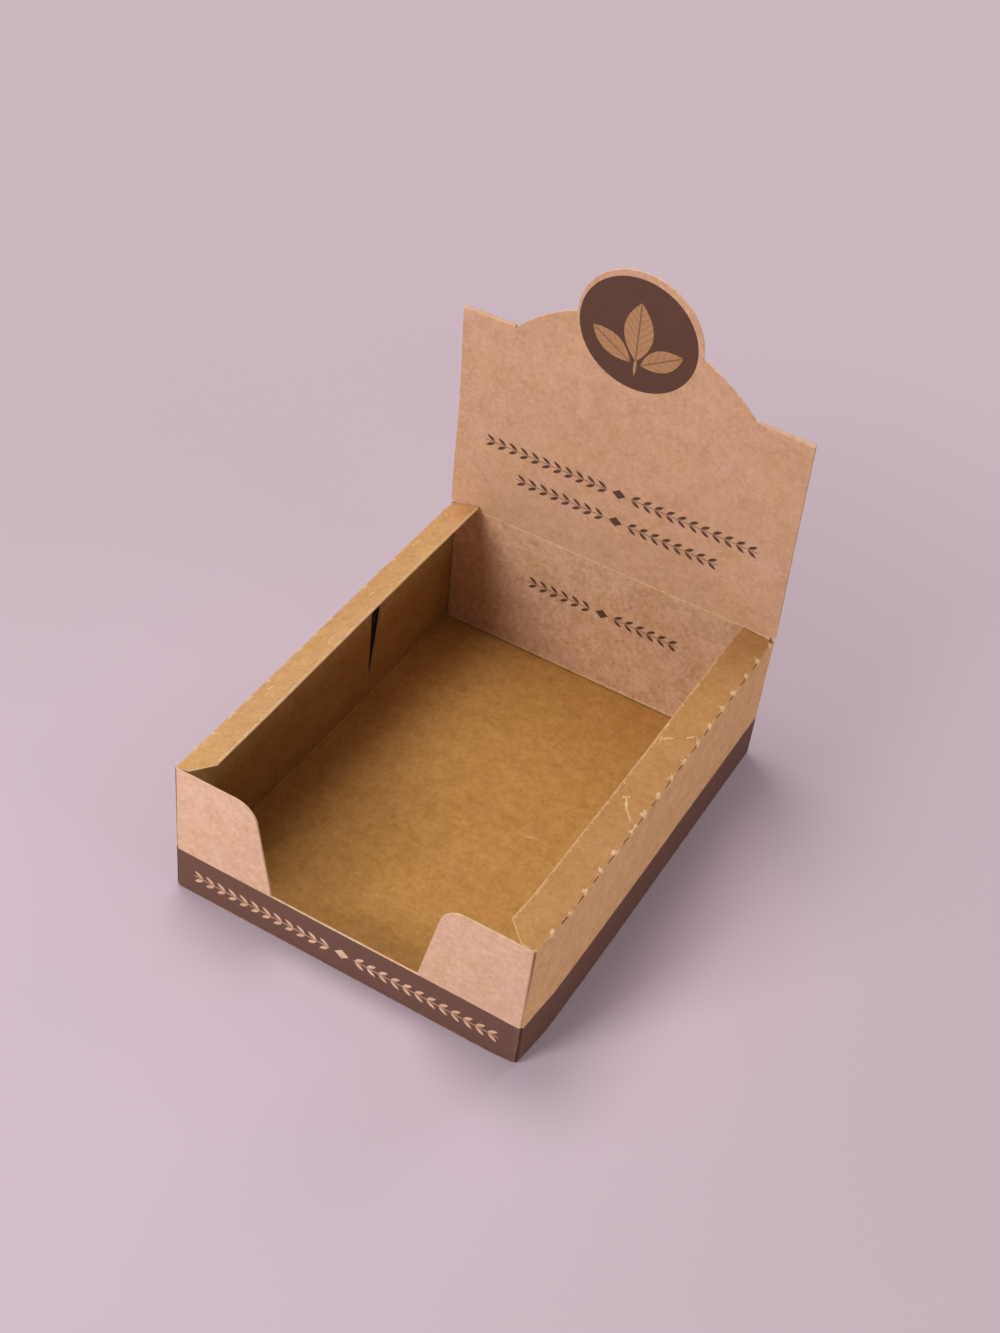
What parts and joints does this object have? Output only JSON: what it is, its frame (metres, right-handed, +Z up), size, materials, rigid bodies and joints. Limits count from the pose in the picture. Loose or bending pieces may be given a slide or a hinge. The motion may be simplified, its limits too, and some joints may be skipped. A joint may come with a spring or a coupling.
{
  "type": "kraft display box",
  "caption": "Open counter display tray of folded kraft board, with a low front opening, inward top flaps along the sides and a standing arched header at the back.",
  "frame": {"origin": "centre of the footprint, on the surface that the tray stands on", "axes": "+X to the right seen from the front, +Y from the low front to the header, +Z up"},
  "size_m": [0.152, 0.199, 0.2118],
  "materials": {
    "kraft_board": "uncoated brown kraft, printed in dark brown on its outside"
  },
  "bodies": {
    "tray": {"tray": "kraft_board", "tuck_panel": "kraft_board"},
    "header": {"header": "kraft_board"},
    "left_flap": {"left_flap": "kraft_board"},
    "right_flap": {"right_flap": "kraft_board"}
  },
  "joints": [
    {"name": "header_fold", "type": "hinge", "parent": "tray", "child": "header", "pos_m": [0, 0.0985, 0.0655], "axis": [-1, 0, 0], "range_deg": [-12, 90]},
    {"name": "left_flap_fold", "type": "hinge", "parent": "tray", "child": "left_flap", "pos_m": [-0.0756, 0, 0.0636], "axis": [0, -1, 0], "range_deg": [-18, 150]},
    {"name": "right_flap_fold", "type": "hinge", "parent": "tray", "child": "right_flap", "pos_m": [0.0756, 0, 0.0636], "axis": [0, 1, 0], "range_deg": [-8, 160]}
  ]
}
